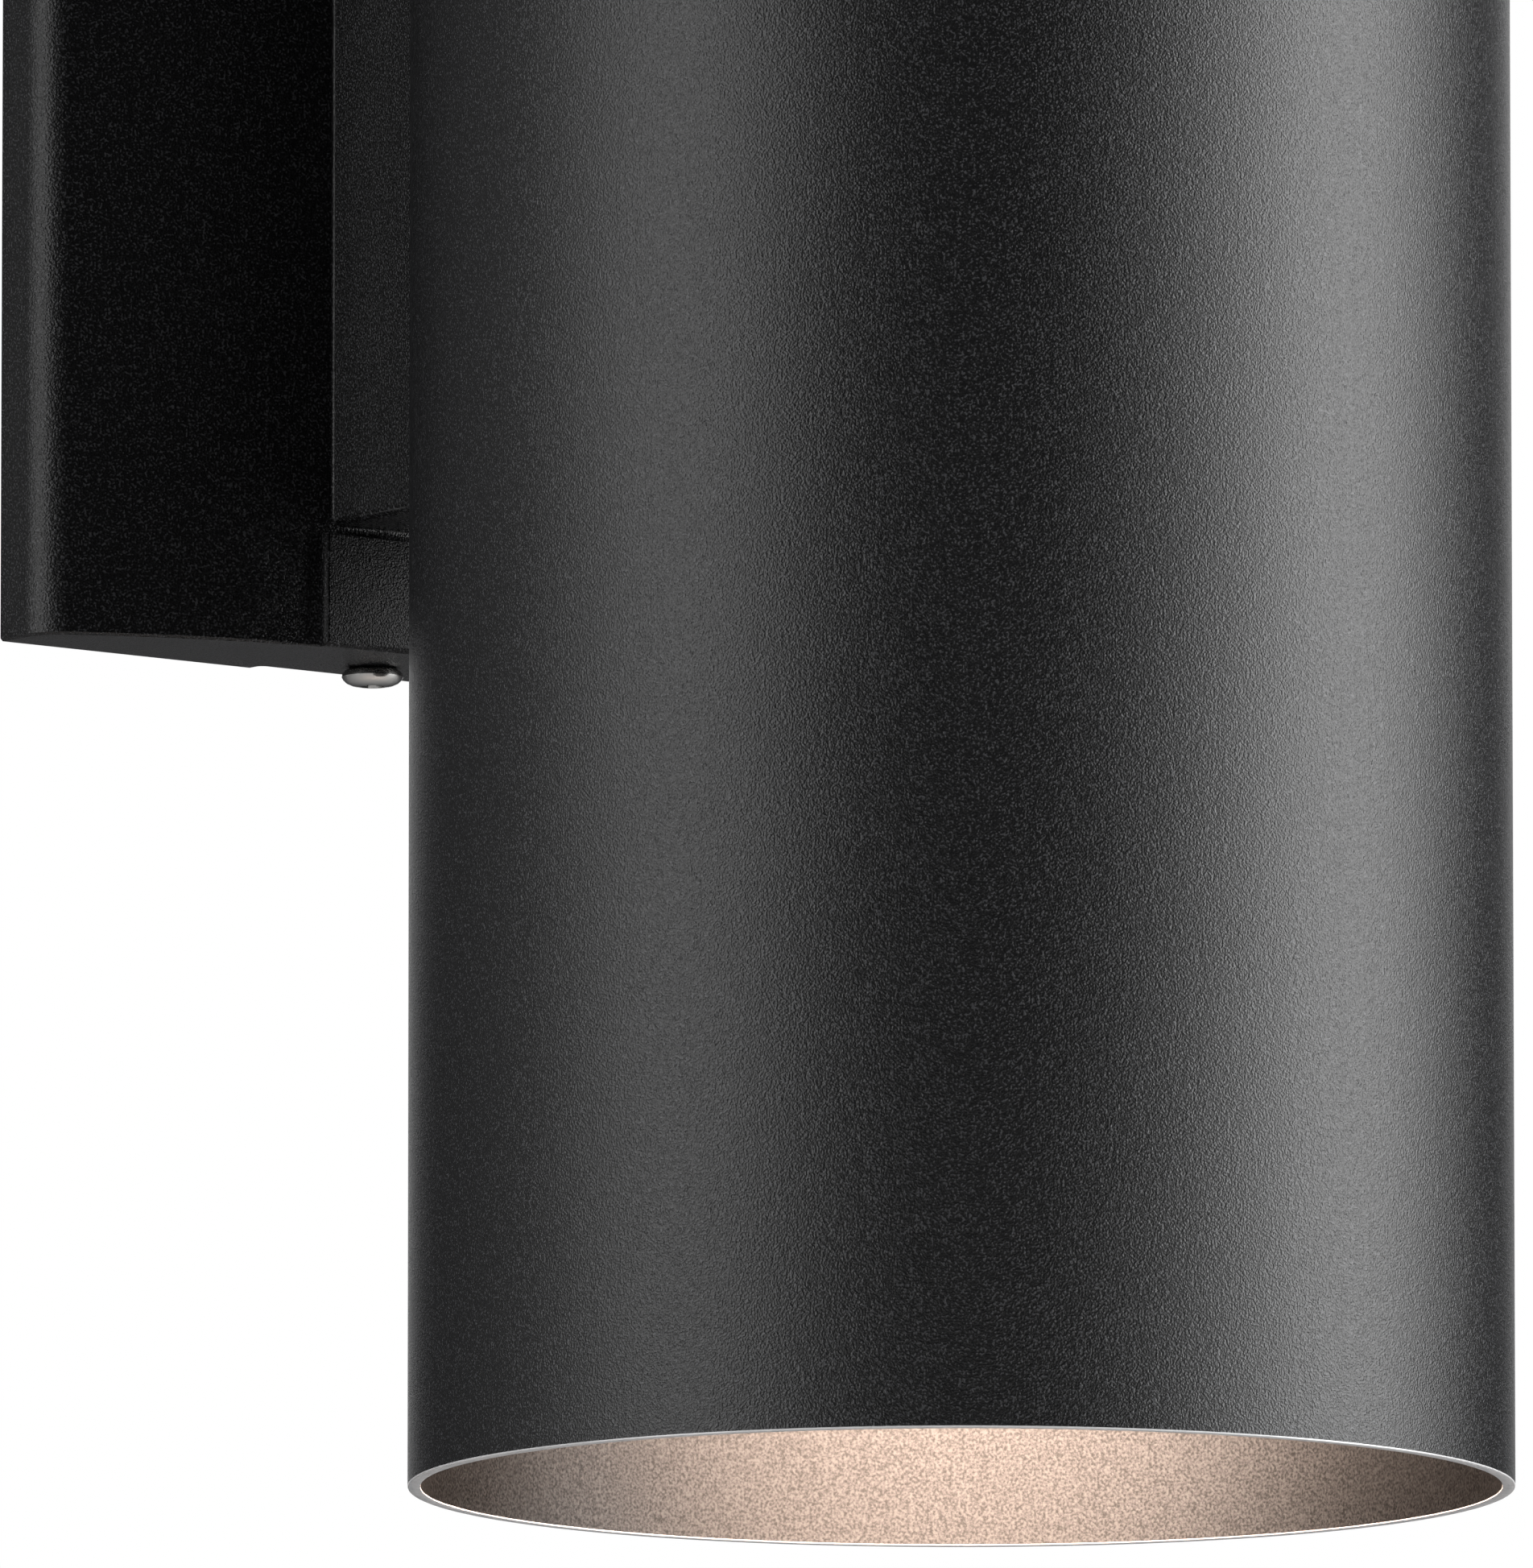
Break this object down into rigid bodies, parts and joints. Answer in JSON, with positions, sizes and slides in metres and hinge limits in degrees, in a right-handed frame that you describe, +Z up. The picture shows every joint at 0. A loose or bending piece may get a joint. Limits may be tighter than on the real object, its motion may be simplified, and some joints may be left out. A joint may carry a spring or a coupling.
{
  "type": "tube wall light",
  "caption": "Upright cylinder wall light that shines up and down, on a bowed canopy with a hollow arm, with screw-base reflector lamps and a lens over the upper end.",
  "frame": {"origin": "on the wall plane at the middle of the canopy, on the back of the wall strap", "axes": "+Z up along the tube, -Y out of the wall towards the tube, +X to the right as seen from the front"},
  "size_m": [0.1524, 0.2202, 0.4572],
  "materials": {
    "black_powder_coat": "fine satin powder coat",
    "strap_zinc": "zinc plated",
    "screw_nickel": "bright nickel plate",
    "earth_green": "green dyed plate",
    "clamp_aluminium": "as cast",
    "screw_zinc": "zinc plated",
    "bushing_nylon": "moulded nylon",
    "porcelain": "white glaze",
    "shell_nickel": "nickel-washed brass",
    "contact_brass": "plain brass",
    "lamp_brass": "lacquered brass",
    "lamp_tip": "solder",
    "lamp_insulator": "black glass",
    "lamp_mirror": "aluminised inside",
    "lamp_lens": "stippled, lit",
    "seat_aluminium": "mill finish",
    "gasket_silicone": "translucent silicone",
    "lens_clear": "clear tempered"
  },
  "bodies": {
    "fixture": {"wall_strap": "strap_zinc", "ground_screw": "earth_green", "canopy": "black_powder_coat", "canopy_screws": "screw_nickel", "tube": "black_powder_coat", "clamp_block": "clamp_aluminium", "tube_screws": "screw_zinc", "wire_bushing": "bushing_nylon", "socket_bridge": "strap_zinc", "bridge_screws": "screw_zinc", "holder_bolts": "screw_zinc", "holder_nuts": "screw_zinc", "lens_seat": "seat_aluminium", "lens_gasket": "gasket_silicone", "lens_glass": "lens_clear", "lens_ring": "screw_zinc", "lampholder_upper": "porcelain", "socket_shell_upper": "shell_nickel", "socket_contact_upper": "contact_brass", "lampholder_lower": "porcelain", "socket_shell_lower": "shell_nickel", "socket_contact_lower": "contact_brass"},
    "lamp_upper": {"lamp_upper_contact": "lamp_tip", "lamp_upper_insulator": "lamp_insulator", "lamp_upper_base": "lamp_brass", "lamp_upper_reflector": "lamp_mirror", "lamp_upper_lens": "lamp_lens"},
    "lamp_lower": {"lamp_lower_contact": "lamp_tip", "lamp_lower_insulator": "lamp_insulator", "lamp_lower_base": "lamp_brass", "lamp_lower_reflector": "lamp_mirror", "lamp_lower_lens": "lamp_lens"}
  },
  "joints": [
    {"name": "lamp_upper_turn", "type": "hinge", "parent": "fixture", "child": "lamp_upper", "pos_m": [0, -0.144, 0.0133], "axis": [0, 0, 1], "range_deg": [0, 1440]},
    {"name": "lamp_lower_turn", "type": "hinge", "parent": "fixture", "child": "lamp_lower", "pos_m": [0, -0.144, -0.0133], "axis": [0, 0, -1], "range_deg": [0, 1440]}
  ]
}
